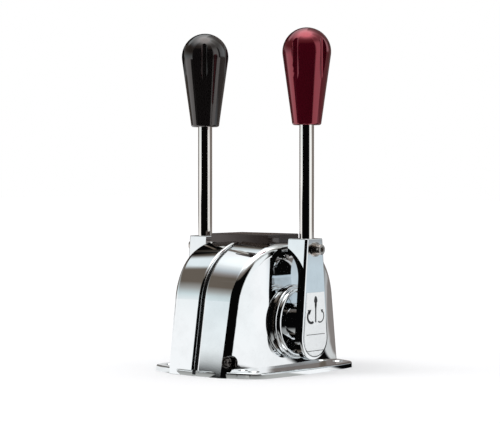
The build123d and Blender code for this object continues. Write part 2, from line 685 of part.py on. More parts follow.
def crank():
    """Cable crank: hangs down from the shaft, with a hole for the cable's end pin."""
    foot_z = PIVOT_HEIGHT - CRANK_REACH
    with BuildSketch(Plane.YZ.offset(CRANK_FACE)) as outline:
        with Locations((0, PIVOT_HEIGHT)):
            Circle(CRANK_HUB_RADIUS)
        with Locations((0, foot_z)):
            Circle(CRANK_END_RADIUS)
        make_hull()
    body = extrude(outline.sketch, amount=CRANK_THICK)
    body -= cylinder_x(SHAFT_RADIUS, 0.0, FAR)
    body -= cylinder_x(CRANK_PIN_HOLE / 2, 0.0, FAR, 0.0, foot_z)
    return body - crank_key()


# ---- Clamp bolt and washers --------------------------------------------------------------------------------
def clamp_washer():
    washer = cylinder_x(CLAMP_WASHER_RADIUS, ARM_OUTER, ARM_OUTER + CLAMP_WASHER_THICK, 0.0, CLAMP_HEIGHT)
    return washer - cylinder_x(CLAMP_RADIUS, 0.0, FAR, 0.0, CLAMP_HEIGHT)


def lock_washer():
    """Split spring washer under the clamp bolt's head."""
    start = ARM_OUTER + CLAMP_WASHER_THICK
    washer = cylinder_x(CLAMP_LOCK_RADIUS, start, start + CLAMP_LOCK_THICK, 0.0, CLAMP_HEIGHT)
    washer -= cylinder_x(CLAMP_RADIUS, 0.0, FAR, 0.0, CLAMP_HEIGHT)
    return washer - box_between((0, FAR), (-LOCK_SLIT / 2, LOCK_SLIT / 2), (CLAMP_HEIGHT, FAR))


def clamp_bolt():
    """Socket bolt whose tip runs in the rod's groove, so the rod turns but can't lift out."""
    seat = ARM_OUTER + CLAMP_WASHER_THICK + CLAMP_LOCK_THICK
    tip = ROD_X + ROD_GROOVE_RADIUS + CLAMP_TIP_GAP
    shank = cylinder_x(CLAMP_RADIUS, tip, seat, 0.0, CLAMP_HEIGHT)
    head = cylinder_x(CLAMP_HEAD_RADIUS, seat, seat + CLAMP_HEAD_HEIGHT, 0.0, CLAMP_HEIGHT)
    head = fillet(head.edges().group_by(Axis.X)[-1], CLAMP_HEAD_ROUND)
    socket = Rot(0, 90, 0) * hexagon_prism(CLAMP_SOCKET_FLATS, CLAMP_SOCKET_DEPTH + 1.0)
    return shank + head - Pos(seat + CLAMP_HEAD_HEIGHT - CLAMP_SOCKET_DEPTH, 0, CLAMP_HEIGHT) * socket


# ---- Rod, knob and insert -------------------------------------------------------------------------------------
def rod():
    """Stainless rod: groove for the clamp bolt at the foot and a spigot in the knob."""
    spigot_foot = KNOB_FOOT + INSERT_FOOT
    body = cylinder_z(ROD_RADIUS, ROD_BORE_FOOT + ROD_END_GAP, spigot_foot, ROD_X)
    body = chamfer(body.edges().group_by(Axis.Z)[0], ROD_CHAMFER)
    body += cylinder_z(SPIGOT_RADIUS, spigot_foot, spigot_foot + SPIGOT_LENGTH, ROD_X)
    half = CLAMP_RADIUS + ROD_GROOVE_SIDE
    groove = cylinder_z(ROD_RADIUS + 1.0, CLAMP_HEIGHT - half, CLAMP_HEIGHT + half, ROD_X)
    return body - (groove - cylinder_z(ROD_GROOVE_RADIUS, 0.0, FAR, ROD_X))


def knob_insert():
    """Threaded brass insert moulded into the knob."""
    foot = KNOB_FOOT + INSERT_FOOT
    body = cylinder_z(INSERT_RADIUS, foot, foot + INSERT_LENGTH, ROD_X)
    return body - cylinder_z(SPIGOT_RADIUS, foot, foot + SPIGOT_LENGTH, ROD_X)


def knob(phase):
    """Tapered knob with a ball top and straight flutes that run out along its taper."""
    ball_z = KNOB_TOP - KNOB_RADIUS
    reach = ball_z - KNOB_FOOT
    span = math.hypot(KNOB_FOOT_RADIUS, reach)
    angle = math.atan2(-reach, KNOB_FOOT_RADIUS) + math.acos(KNOB_RADIUS / span)
    side = Vector(math.cos(angle), math.sin(angle)) * KNOB_RADIUS
    with BuildSketch(Plane.XZ) as section:
        with BuildLine():
            Line((0, KNOB_FOOT), (KNOB_FOOT_RADIUS, KNOB_FOOT))
            Line((KNOB_FOOT_RADIUS, KNOB_FOOT), (side.X, ball_z + side.Y))
            middle = (angle + math.pi / 2) / 2
            ThreePointArc(
                (side.X, ball_z + side.Y),
                (KNOB_RADIUS * math.cos(middle), ball_z + KNOB_RADIUS * math.sin(middle)),
                (0, KNOB_TOP),
            )
            Line((0, KNOB_TOP), (0, KNOB_FOOT))
        make_face()
    body = revolve(section.sketch, axis=Axis.Z)
    body = fillet(body.edges().group_by(Axis.Z)[0], KNOB_EDGE_ROUND)
    for index in range(FLUTE_COUNT):
        turn = Rot(0, 0, phase + index * 360.0 / FLUTE_COUNT)
        body -= turn * cylinder_z(FLUTE_CUTTER, KNOB_FOOT - 1.0, KNOB_TOP + 1.0, FLUTE_FLOOR + FLUTE_CUTTER)
    body = Pos(ROD_X, 0, 0) * body
    body -= cylinder_z(ROD_RADIUS, 0.0, KNOB_FOOT + INSERT_FOOT, ROD_X)
    foot = KNOB_FOOT + INSERT_FOOT
    return body - cylinder_z(INSERT_RADIUS, foot, foot + INSERT_LENGTH, ROD_X)


# ---- Export -------------------------------------------------------------------------------------------------------
def write(name, shape):
    export_step(shape, os.path.join("parts", name + ".step"))


def export_housing():
    write("left_housing_shell", left_housing_shell())
    write("right_housing_shell", right_housing_shell())
    write("centre_frame", centre_frame())
    write("top_cap", top_cap())
    write("cap_screws", cap_screws())
    write("tie_bolts", tie_bolts())
    write("tie_nuts", tie_nuts())
    write("side_screw", side_screw())
    write("side_screw_washer", side_washer())


def export_pair(name, shape):
    """A piece for the throttle side and its mirror image for the shift side."""
    write("throttle_" + name, shape)
    write("shift_" + name, mirrored(shape))


def main():
    export_housing()
    export_pair("outer_bush", outer_bush())
    export_pair("inner_bush", inner_bush())
    export_pair("brake_lining", brake_lining())
    export_pair("hub", hub())
    export_pair("arm", arm())
    export_pair("arm_screws", arm_screws())
    export_pair("shaft", shaft())
    export_pair("shaft_keys", shaft_keys())
    export_pair("shaft_clips", shaft_clips())
    export_pair("cable_crank", crank())
    export_pair("clamp_washer", clamp_washer())
    export_pair("lock_washer", lock_washer())
    export_pair("clamp_bolt", clamp_bolt())
    export_pair("rod", rod())
    export_pair("knob_insert", knob_insert())
    write("throttle_label_plate", label_plate())
    write("throttle_knob", knob(FLUTE_PHASE_RIGHT))
    write("shift_knob", mirrored(knob(FLUTE_PHASE_LEFT)))


main()
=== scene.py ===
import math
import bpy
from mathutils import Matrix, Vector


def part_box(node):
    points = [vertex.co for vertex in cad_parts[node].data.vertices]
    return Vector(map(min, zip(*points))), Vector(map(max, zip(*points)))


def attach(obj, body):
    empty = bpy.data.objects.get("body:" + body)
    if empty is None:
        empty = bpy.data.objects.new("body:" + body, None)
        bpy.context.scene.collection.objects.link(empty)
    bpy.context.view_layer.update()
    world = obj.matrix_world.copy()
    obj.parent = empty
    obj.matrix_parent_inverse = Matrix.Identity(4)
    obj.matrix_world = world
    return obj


bl_info = {
    "name": "Twin-lever engine control head",
    "version": (1, 0, 0),
    "blender": (4, 5, 0),
    "location": "View3D > Sidebar > Control Head",
    "description": "Finishes, label marks and studio for a top-mount twin-lever engine control head",
    "category": "Object",
}

import bpy
from mathutils import Vector

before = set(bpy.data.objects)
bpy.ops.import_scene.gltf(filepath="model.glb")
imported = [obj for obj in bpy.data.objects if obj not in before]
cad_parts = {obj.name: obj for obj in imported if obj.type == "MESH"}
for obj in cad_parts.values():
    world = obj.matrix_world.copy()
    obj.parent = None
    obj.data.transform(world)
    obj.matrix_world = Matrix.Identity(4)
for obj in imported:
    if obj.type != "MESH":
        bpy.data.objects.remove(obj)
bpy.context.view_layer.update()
SIDES = ("throttle", "shift")


# ---- Node helpers ----------------------------------------------------------------
NO_TINT = (1.0, 1.0, 1.0)
OPEN_WHITE = (1.0, 1.0, 1.0, 1.0)


def feed(tree, node, sockets):
    """Gives each named socket a constant or another node's output."""
    for socket, value in sockets.items():
        if isinstance(value, bpy.types.NodeSocket):
            tree.links.new(value, node.inputs[socket])
        else:
            node.inputs[socket].default_value = value


def add_node(tree, kind, sockets=None, **settings):
    """Adds a node with its own settings, such as operation or data_type, and feeds its sockets."""
    made = tree.nodes.new(kind)
    for name, value in settings.items():
        setattr(made, name, value)
    feed(tree, made, sockets or {})
    return made


def calculate(tree, operation, first, second):
    """One step of arithmetic on constants or other nodes' outputs."""
    return add_node(tree, "ShaderNodeMath", {0: first, 1: second}, operation=operation).outputs[0]


def blend(tree, share, first, second):
    """Goes from the first colour to the second as the share rises."""
    made = add_node(tree, "ShaderNodeMix", {0: share, 6: first, 7: second}, data_type="RGBA")
    return made.outputs[2]


def map_range(tree, value, low, high, out_low=0.0, out_high=1.0, interpolation="LINEAR"):
    """Maps a value from one range to another, clamped."""
    sockets = {"Value": value, "From Min": low, "From Max": high, "To Min": out_low, "To Max": out_high}
    made = add_node(tree, "ShaderNodeMapRange", sockets, interpolation_type=interpolation)
    return made.outputs["Result"]


def shade(tone, share):
    """The same hue, darker below 1 and lighter above."""
    return tuple(share * part for part in tone)


class Finish:
    """A material under construction: a Principled shader and the nodes that feed it."""

    def __init__(self, name, colour, metallic=0.0, roughness=0.3, ior=1.5, coat=0.0, tint=NO_TINT):
        self.material = bpy.data.materials.new(name)
        self.material.use_nodes = True
        self.tree = self.material.node_tree
        self.shader = self.tree.nodes["Principled BSDF"]
        feed(self.tree, self.shader, {
            "Base Color": (*colour, 1.0), "Metallic": metallic, "Roughness": roughness,
            "IOR": ior, "Specular Tint": (*tint, 1.0), "Coat Weight": coat,
        })
        self.place = add_node(self.tree, "ShaderNodeTexCoord").outputs["Object"]
        self.relief = None

    def stretched(self, scale):
        """Place on the piece with each axis scaled by itself, for grain that runs one way."""
        sockets = {"Vector": self.place, "Scale": scale}
        return add_node(self.tree, "ShaderNodeMapping", sockets).outputs["Vector"]

    def noise(self, scale, detail, roughness, place=None):
        sockets = {"Vector": place or self.place, "Scale": scale, "Detail": detail, "Roughness": roughness}
        return add_node(self.tree, "ShaderNodeTexNoise", sockets).outputs["Fac"]

    def bump(self, height, distance, strength):
        """Adds a layer of relief on top of the layers before it."""
        sockets = {"Strength": strength, "Distance": distance, "Height": height}
        if self.relief is not None:
            sockets["Normal"] = self.relief
        self.relief = add_node(self.tree, "ShaderNodeBump", sockets).outputs["Normal"]
        feed(self.tree, self.shader, {"Normal": self.relief})

    def mottle(self, pattern, low, high, tone, far_tone):
        """Base colour that goes from a tone to another where the pattern rises from low to high."""
        share = map_range(self.tree, pattern, low, high)
        colour = blend(self.tree, share, (*tone, 1.0), (*far_tone, 1.0))
        feed(self.tree, self.shader, {"Base Color": colour})

    def wear(self, pattern, low, high, smooth, rough):
        """Roughness that goes from smooth to rough where the pattern rises from low to high."""
        roughness = map_range(self.tree, pattern, low, high, smooth, rough)
        feed(self.tree, self.shader, {"Roughness": roughness})


# ---- Finishes ----------------------------------------------------------------------
FRAME_PAINT = (0.004, 0.004, 0.004)
FRAME_PAINT_RUBBED = (0.008, 0.008, 0.008)
CAP_TINT = (1.0, 0.85, 0.8)
THROTTLE_TINT = (1.0, 0.13, 0.18)
SHIFT_TINT = (1.0, 0.86, 0.82)
SHAFT_STEEL = (0.60, 0.60, 0.61)
CRANK_ZINC = (0.55, 0.56, 0.58)
INSERT_BRASS = (0.75, 0.58, 0.30)
BUSH_BRONZE = (0.66, 0.48, 0.28)
OIL_SPECK = (0.22, 0.14, 0.08)
LINING_TONE = (0.08, 0.065, 0.055)
LINING_DUST = (0.16, 0.13, 0.10)


def plated_chrome(name, settings):
    """Chrome plate on a polished casting: faint polishing waves, haze and fine scratches."""
    tone = tuple(settings.chrome_colour)
    smooth = settings.chrome_roughness
    finish = Finish(name, tone, metallic=1.0, roughness=smooth)
    waves = finish.noise(scale=22.0, detail=1.0, roughness=0.4)
    finish.bump(waves, distance=0.00025, strength=0.35)
    drawn = finish.stretched((1.0, 0.12, 1.0))
    scratches = finish.noise(scale=900.0, detail=2.0, roughness=0.6, place=drawn)
    finish.bump(scratches, distance=0.000004, strength=0.5)
    haze = finish.noise(scale=35.0, detail=4.0, roughness=0.6)
    finish.mottle(haze, 0.45, 0.75, tone, shade(tone, 0.90))
    finish.wear(haze, 0.35, 0.75, smooth, smooth * 2.5)
    return finish.material


def plated_steel(name, tone, roughness, grain):
    """Turned and plated steel: fine grain, a slightly uneven tone and roughness."""
    finish = Finish(name, tone, metallic=1.0, roughness=roughness)
    fine = finish.noise(scale=grain, detail=3.0, roughness=0.6)
    finish.bump(fine, distance=0.00002, strength=0.3)
    patch = finish.noise(scale=180.0, detail=3.0, roughness=0.55)
    finish.mottle(patch, 0.4, 0.75, tone, shade(tone, 0.7))
    finish.wear(patch, 0.3, 0.7, roughness, roughness * 1.8)
    return finish.material


def ground_rod(name, tone):
    """Polished stainless bar with fine rings from the grinding."""
    finish = Finish(name, tone, metallic=1.0, roughness=0.05)
    across = finish.stretched((0.02, 0.02, 8.0))
    rings = finish.noise(scale=260.0, detail=4.0, roughness=0.7, place=across)
    finish.bump(rings, distance=0.000002, strength=0.3)
    patch = finish.noise(scale=60.0, detail=3.0, roughness=0.5)
    finish.mottle(patch, 0.4, 0.7, tone, shade(tone, 0.95))
    finish.wear(rings, 0.3, 0.7, smooth=0.04, rough=0.08)
    return finish.material


def moulded_gloss(name, tone, ior, tint):
    """Glossy moulded resin: a deep colour, faint flow marks and rubbed high spots."""
    finish = Finish(name, tone, roughness=0.08, ior=ior, coat=0.6, tint=tint)
    finish.shader.inputs["Coat Roughness"].default_value = 0.03
    along = finish.stretched((1.0, 1.0, 0.35))
    flow = finish.noise(scale=28.0, detail=3.0, roughness=0.5, place=along)
    finish.bump(flow, distance=0.00015, strength=0.25)
    finish.mottle(flow, 0.35, 0.75, tone, shade(tone, 0.72))
    rub = finish.noise(scale=140.0, detail=4.0, roughness=0.65)
    finish.wear(rub, 0.35, 0.75, smooth=0.06, rough=0.14)
    return finish.material


def satin_coat(name, tone, high_tone, roughness, grain=400.0):
    """Satin paint, lining or print: fine tooth and an uneven tone."""
    finish = Finish(name, tone, roughness=roughness)
    tooth = finish.noise(scale=grain, detail=4.0, roughness=0.6)
    finish.bump(tooth, distance=0.00003, strength=0.3)
    patch = finish.noise(scale=50.0, detail=3.0, roughness=0.5)
    finish.mottle(patch, 0.4, 0.7, tone, high_tone)
    finish.wear(tooth, 0.3, 0.7, roughness * 0.8, min(1.0, roughness * 1.25))
    return finish.material


def sintered_bronze(name):
    """Porous bronze with dark oil-filled specks."""
    finish = Finish(name, BUSH_BRONZE, metallic=1.0, roughness=0.35)
    specks = finish.noise(scale=1800.0, detail=2.0, roughness=0.7)
    finish.bump(specks, distance=0.00003, strength=0.5)
    finish.mottle(specks, 0.55, 0.7, BUSH_BRONZE, OIL_SPECK)
    finish.wear(specks, 0.4, 0.7, smooth=0.28, rough=0.55)
    return finish.material


def give(nodes, material):
    """Dresses nodes of the frame in one material."""
    for name in nodes:
        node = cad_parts[name]
        node.data.materials.clear()
        node.data.materials.append(material)


def give_side(side, parts, material):
    """Dresses one lever's own parts, named after its side."""
    give([side + "_" + part for part in parts], material)


# ---- Mesh helpers -----------------------------------------------------------------
def settle(name, material, body):
    """Ends a piece: its place goes into its mesh, and it rides on its body."""
    piece = bpy.context.active_object
    piece.name = name
    piece.data.name = name
    bpy.ops.object.transform_apply(location=True, rotation=True, scale=True)
    piece.data.materials.clear()
    piece.data.materials.append(material)
    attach(piece, body)


def round_edges(width):
    """Applies a small bevel to the active piece."""
    piece = bpy.context.active_object
    bevel = piece.modifiers.new("Bevel", "BEVEL")
    bevel.width = width
    bevel.segments = 2
    bevel.limit_method = "ANGLE"
    bpy.ops.object.modifier_apply(modifier=bevel.name)


def join_pieces(pieces):
    """Makes the first piece take in the others."""
    bpy.ops.object.select_all(action="DESELECT")
    for piece in pieces:
        piece.select_set(True)
    bpy.context.view_layer.objects.active = pieces[0]
    bpy.ops.object.join()


# ---- Settings ----------------------------------------------------------------------
class ControlHousingSettings(bpy.types.PropertyGroup):
    chrome_colour: bpy.props.FloatVectorProperty(
        name="Chrome colour", description="Tint of the chrome plate",
        subtype="COLOR", size=3, min=0.0, max=1.0, default=(0.93, 0.94, 0.95),
    )
    chrome_roughness: bpy.props.FloatProperty(
        name="Chrome roughness", description="Blur of the chrome's reflections",
        subtype="FACTOR", min=0.0, max=1.0, default=0.02,
    )
    cap_colour: bpy.props.FloatVectorProperty(
        name="Cap colour", description="Colour of the dark cap on the crown",
        subtype="COLOR", size=3, min=0.0, max=1.0, default=(0.024, 0.017, 0.015),
    )
    fastener_colour: bpy.props.FloatVectorProperty(
        name="Fastener colour", description="Tint of the plated screws and washers",
        subtype="COLOR", size=3, min=0.0, max=1.0, default=(0.64, 0.58, 0.54),
    )


class ControlLeverSettings(bpy.types.PropertyGroup):
    rod_colour: bpy.props.FloatVectorProperty(
        name="Rod colour", description="Tint of the stainless rods",
        subtype="COLOR", size=3, min=0.0, max=1.0, default=(0.97, 0.93, 0.89),
    )
    throttle_colour: bpy.props.FloatVectorProperty(
        name="Throttle knob", description="Colour of the throttle knob",
        subtype="COLOR", size=3, min=0.0, max=1.0, default=(0.06, 0.002, 0.007),
    )
    shift_colour: bpy.props.FloatVectorProperty(
        name="Shift knob", description="Colour of the shift knob",
        subtype="COLOR", size=3, min=0.0, max=1.0, default=(0.006, 0.005, 0.005),
    )


class ControlLabelSettings(bpy.types.PropertyGroup):
    plate_colour: bpy.props.FloatVectorProperty(
        name="Plate colour", description="Colour of the label plate",
        subtype="COLOR", size=3, min=0.0, max=1.0, default=(0.93, 0.96, 0.97),
    )
    ink_colour: bpy.props.FloatVectorProperty(
        name="Ink colour", description="Colour of the printed marks",
        subtype="COLOR", size=3, min=0.0, max=1.0, default=(0.02, 0.02, 0.022),
    )
    mark_width: bpy.props.FloatProperty(
        name="Mark width", description="Width of the arrows' bands",
        subtype="DISTANCE", unit="LENGTH", min=0.0002, max=0.005, default=0.0021,
    )
    mark_height: bpy.props.FloatProperty(
        name="Mark height", description="How far the marks stand off the plate",
        subtype="DISTANCE", unit="LENGTH", min=0.00002, max=0.0005, default=0.00006,
    )


class ControlStudioSettings(bpy.types.PropertyGroup):
    ambient: bpy.props.FloatProperty(
        name="Ambient", description="Strength of the surrounding light",
        min=0.0, max=2.0, default=0.95,
    )
    key_strength: bpy.props.FloatProperty(
        name="Key light", description="Strength of the soft key light",
        min=0.0, max=10.0, default=0.8,
    )
    surround_radius: bpy.props.FloatProperty(
        name="Surround radius", description="Distance of the cards and flags from the part",
        subtype="DISTANCE", unit="LENGTH", min=0.3, max=5.0, default=0.9,
    )
    ceiling_strength: bpy.props.FloatProperty(
        name="Ceiling", description="Brightness of the ceiling in reflections",
        min=0.0, max=20.0, default=2.4,
    )


# ---- Finishes on the frame's nodes -----------------------------------------------------
class CONTROL_OT_housing_finish(bpy.types.Operator):
    """Chrome on the housing and the dark and plated parts that belong to it; the side screw's plating is
    darkened as a painted dark reflection
    """

    bl_idname = "control.housing_finish"
    bl_label = "Housing finishes"

    def execute(self, context):
        settings = context.scene.control_housing
        plating = tuple(settings.fastener_colour)
        chrome = plated_chrome("housing_chrome", settings)
        cap = moulded_gloss("cap_dark_plastic", tuple(settings.cap_colour), ior=1.5, tint=CAP_TINT)
        paint = satin_coat("frame_black_paint", FRAME_PAINT, FRAME_PAINT_RUBBED, roughness=0.35)
        screws = plated_steel("plated_screw", plating, roughness=0.16, grain=900.0)
        # Side screw and washer: the screws' own plating at a quarter of its brightness, a painted dark
        # reflection
        dark = plated_steel("screw_painted_dark_reflection", shade(plating, 0.25), roughness=0.2, grain=900.0)
        give(("left_housing_shell", "right_housing_shell"), chrome)
        give(("top_cap",), cap)
        give(("centre_frame",), paint)
        give(("cap_screws", "tie_bolts", "tie_nuts"), screws)
        # The side screw and its washer get the plating darkened as a painted dark reflection
        give(("side_screw", "side_screw_washer"), dark)
        for side in SIDES:
            give_side(side, ("arm_screws", "clamp_washer", "lock_washer", "clamp_bolt"), screws)
        return {"FINISHED"}


class CONTROL_OT_lever_finish(bpy.types.Operator):
    """Chrome hubs and arms, ground rods and shafts, bushes, linings and cranks"""

    bl_idname = "control.lever_finish"
    bl_label = "Lever finishes"

    def execute(self, context):
        chrome = plated_chrome("lever_chrome", context.scene.control_housing)
        rod = ground_rod("stainless_rod", tuple(context.scene.control_lever.rod_colour))
        steel = plated_steel("shaft_steel", SHAFT_STEEL, roughness=0.2, grain=700.0)
        zinc = plated_steel("crank_zinc", CRANK_ZINC, roughness=0.32, grain=350.0)
        bronze = sintered_bronze("bush_bronze")
        lining = satin_coat("brake_friction", LINING_TONE, LINING_DUST, roughness=0.85, grain=900.0)
        brass = plated_steel("insert_brass", INSERT_BRASS, roughness=0.25, grain=700.0)
        for side in SIDES:
            give_side(side, ("hub", "arm"), chrome)
            give_side(side, ("rod",), rod)
            give_side(side, ("shaft", "shaft_keys", "shaft_clips"), steel)
            give_side(side, ("cable_crank",), zinc)
            give_side(side, ("outer_bush", "inner_bush"), bronze)
            give_side(side, ("brake_lining",), lining)
            give_side(side, ("knob_insert",), brass)
        return {"FINISHED"}


class CONTROL_OT_knob_finish(bpy.types.Operator):
    """Glossy moulded plastic on both knobs"""

    bl_idname = "control.knob_finish"
    bl_label = "Knob finishes"

    def execute(self, context):
        levers = context.scene.control_lever
        red = tuple(levers.throttle_colour)
        black = tuple(levers.shift_colour)
        give(("throttle_knob",), moulded_gloss("throttle_knob_resin", red, ior=2.7, tint=THROTTLE_TINT))
        give(("shift_knob",), moulded_gloss("shift_knob_resin", black, ior=1.65, tint=SHIFT_TINT))
        return {"FINISHED"}


# ---- Label ---------------------------------------------------------------------------
# Heights are above the floor, widths are along the plate, and the plate's middle is at Y = 0.
LABEL_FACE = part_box("throttle_label_plate")[1].x
GRIP_Z = 0.0586
GRIP_WIDTH = 0.0046
GRIP_LENGTH = 0.0108
GRIP_FOOT_SHARE = 0.62
GRIP_FULL_ABOVE = 0.05
STEM_Z = 0.0500
STEM_WIDTH = 0.0016
STEM_LENGTH = 0.0150
ARROW_RADIUS = 0.0050
ARROW_CENTRE_Y = 0.0057
ARROW_CENTRE_Z = 0.0473
ARROW_START = math.radians(-32.0)
ARROW_END = math.radians(150.0)
ARROW_STEPS = 28
ARROW_HEAD_EXTRA = 0.0008
THIN_ARROW_SHARE = 0.5
RULE_HEIGHTS = (0.0326, 0.0192)
RULE_LENGTH = 0.0240
RULE_WIDTH = 0.0005
BAR_ROUNDING = 0.3


class CONTROL_OT_label(bpy.types.Operator):
    """Label plate finish, lever-and-arrows pictogram and two thin rules"""

    bl_idname = "control.label"
    bl_label = "Label plate and marks"

    def disc(self, vertices, radius, y, z, thick):
        """Flat disc or, with three vertices, triangle that lies on the plate."""
        bpy.ops.object.select_all(action="DESELECT")
        bpy.ops.mesh.primitive_cylinder_add(
            vertices=vertices, radius=radius, depth=1.0,
            location=(LABEL_FACE + thick / 2, y, z), rotation=(0.0, math.pi / 2, 0.0),
        )
        return bpy.context.active_object

    def grip(self, thick):
        """Flat drop shape for the lever mark's grip, narrower towards the stem."""
        made = self.disc(vertices=40, radius=0.5, y=0.0, z=GRIP_Z, thick=thick)
        made.scale = (GRIP_LENGTH, GRIP_WIDTH, thick)
        bpy.ops.object.transform_apply(location=False, rotation=True, scale=True)
        bpy.ops.object.mode_set(mode="EDIT")
        bpy.ops.mesh.select_mode(type="VERT")
        bpy.ops.mesh.select_all(action="DESELECT")
        bpy.ops.object.mode_set(mode="OBJECT")
        for vertex in made.data.vertices:
            vertex.select = vertex.co.z < GRIP_FULL_ABOVE * GRIP_LENGTH
        bpy.ops.object.mode_set(mode="EDIT")
        bpy.ops.transform.resize(
            value=(1.0, GRIP_FOOT_SHARE, 1.0), center_override=(LABEL_FACE, 0.0, GRIP_Z),
        )
        bpy.ops.object.mode_set(mode="OBJECT")
        return made

    def bar(self, z, width, height, thick):
        """Flat bar across the plate's middle, with its edges a little rounded."""
        bpy.ops.object.select_all(action="DESELECT")
        bpy.ops.mesh.primitive_cube_add(size=1.0, location=(LABEL_FACE + thick / 2, 0.0, z))
        made = bpy.context.active_object
        made.scale = (thick, width, height)
        bpy.ops.object.transform_apply(location=False, rotation=False, scale=True)
        round_edges(BAR_ROUNDING * min(width, height))
        return made

    def on_arc(self, side, angle):
        """Place on one side's arc, the angle counted from its lowest point outwards."""
        y = side * (ARROW_CENTRE_Y + ARROW_RADIUS * math.sin(angle))
        return y, ARROW_CENTRE_Z - ARROW_RADIUS * math.cos(angle)

    def arrow(self, side, width, thick):
        """Curved band that rises beside the lever mark, with a pointed head at its upper end."""
        bpy.ops.object.select_all(action="DESELECT")
        y, z = self.on_arc(side, ARROW_START)
        bpy.ops.mesh.primitive_plane_add(
            size=1.0, location=(LABEL_FACE + thick / 2, y, z),
            rotation=(math.pi / 2 + side * ARROW_START, 0.0, 0.0),
        )
        band = bpy.context.active_object
        band.scale = (thick, width, 1.0)
        bpy.ops.object.transform_apply(location=True, rotation=True, scale=True)
        bpy.ops.object.mode_set(mode="EDIT")
        bpy.ops.mesh.select_all(action="SELECT")
        bpy.ops.mesh.spin(
            steps=ARROW_STEPS, angle=-side * (ARROW_END - ARROW_START), axis=(1.0, 0.0, 0.0),
            center=(LABEL_FACE, side * ARROW_CENTRE_Y, ARROW_CENTRE_Z),
        )
        bpy.ops.mesh.select_all(action="SELECT")
        bpy.ops.mesh.normals_make_consistent(inside=False)
        bpy.ops.object.mode_set(mode="OBJECT")
        join_pieces([band, self.arrow_head(side, width + ARROW_HEAD_EXTRA, thick)])
        return bpy.context.active_object

    def arrow_head(self, side, radius, thick):
        """Triangle at the arc's upper end, pointing along it."""
        y, z = self.on_arc(side, ARROW_END)
        made = self.disc(vertices=3, radius=1.0, y=y, z=z, thick=thick)
        bpy.ops.object.transform_apply(location=False, rotation=True, scale=False)
        made.rotation_euler = (math.atan2(math.sin(ARROW_END), side * math.cos(ARROW_END)), 0.0, 0.0)
        made.scale = (thick, radius, radius)
        bpy.ops.object.transform_apply(location=False, rotation=True, scale=True)
        return made

    def execute(self, context):
        settings = context.scene.control_label
        plate = tuple(settings.plate_colour)
        ink_tone = tuple(settings.ink_colour)
        white = satin_coat("label_white", plate, shade(plate, 0.96), roughness=0.3)
        ink = satin_coat("label_ink", ink_tone, shade(ink_tone, 1.6), roughness=0.4)
        give(("throttle_label_plate",), white)
        thick = settings.mark_height
        join_pieces([
            self.grip(thick),
            self.bar(STEM_Z, STEM_WIDTH, STEM_LENGTH, thick),
            self.arrow(-1, settings.mark_width, thick),
            self.arrow(1, settings.mark_width * THIN_ARROW_SHARE, thick),
        ])
        settle("label_pictogram", ink, "throttle_lever")
        join_pieces([self.bar(z, RULE_LENGTH, RULE_WIDTH, thick) for z in RULE_HEIGHTS])
        settle("label_rules", ink, "throttle_lever")
        return {"FINISHED"}


# ---- Studio ------------------------------------------------------------------------------
CAMERA_PLACE = (0.99387, -1.19070, 0.16740)
CAMERA_YAW = 40.0
CAMERA_PITCH = -1.297
CAMERA_LENS = 132.9
CAMERA_SENSOR = 36.0
CAMERA_NEAR = 0.01
CAMERA_FAR = 100.0
KEY_DIRECTION = (0.9, 0.9, -1.5)
KEY_SPREAD = 30.0
FLOOR_SIZE = 14.0
FLOOR_TONE = (0.74, 0.74, 0.75, 1.0)
FLOOR_ROUGHNESS = 0.9
FLOOR_LIFT = 0.21
SURROUND_HEIGHT = 3.4
SURROUND_STEPS = 128
CLOTH_LIFT = 0.0003
BRIGHT_FROM = 1.3
BRIGHT_TO = 2.4

# The studio's few tones, from dark to light.
BLACK = (0.002, 0.002, 0.002)
SOOT = (0.10, 0.08, 0.07)
BROWN = (0.13, 0.11, 0.09)
TAUPE = (0.20, 0.18, 0.17)
LEAD = (0.24, 0.22, 0.21)
STONE = (0.34, 0.35, 0.34)
GREY = (0.42, 0.43, 0.42)
SLATE = (0.50, 0.55, 0.58)
COOL = (0.57, 0.67, 0.73)
ASH = (0.62, 0.64, 0.64)
SKY = (0.62, 0.72, 0.74)
PALE = (0.79, 0.87, 0.90)
MIST = (0.90, 0.95, 0.96)
WHITE = (0.97, 0.99, 1.0)

# Place along the cloth and its tone: below 0 on the table towards the part, above 0 up the round wall.
FAR_LEFT = (
    (-0.90, ASH), (-0.74, WHITE), (0.06, WHITE), (0.10, BROWN), (0.26, BROWN), (0.34, GREY), (0.55, BROWN),
    (0.74, BROWN), (0.80, GREY), (0.88, PALE), (1.35, MIST), (3.4, WHITE),
)
LEFT_CARD = (
    (-0.90, ASH), (-0.74, WHITE), (0.16, WHITE), (0.30, SKY), (0.43, STONE), (0.56, BROWN), (0.88, BROWN),
    (0.98, LEAD), (1.15, SLATE), (1.35, MIST), (3.4, WHITE),
)
LEFT_EDGE = (
    (-0.90, ASH), (-0.78, WHITE), (-0.50, WHITE), (-0.30, BLACK), (0.125, BLACK), (0.150, MIST),
    (0.22, PALE), (0.30, SKY), (0.43, STONE), (0.56, BROWN), (0.88, BROWN), (1.02, LEAD), (1.30, SLATE),
    (2.0, PALE), (3.4, WHITE),
)
FRONT_FLAG = (
    (-0.90, GREY), (-0.81, GREY), (-0.78, BLACK), (0.88, BLACK), (1.02, BROWN), (1.30, TAUPE), (1.80, GREY),
    (2.30, ASH), (3.4, WHITE),
)
RIGHT_CARD = (
    (-0.90, ASH), (-0.84, WHITE), (0.80, MIST), (1.15, GREY), (1.60, STONE), (2.40, ASH), (3.4, PALE),
)
DARK_STRIP = (
    (-0.90, GREY), (-0.80, WHITE), (0.20, WHITE), (0.27, BLACK), (0.88, BLACK), (1.10, GREY), (3.4, PALE),
)
SIDE_CARD = (
    (-0.90, BLACK), (-0.32, BLACK), (-0.24, COOL), (0.05, COOL), (0.09, TAUPE), (0.26, TAUPE), (0.34, PALE),
    (0.60, PALE), (1.10, GREY), (2.40, GREY), (3.4, PALE),
)
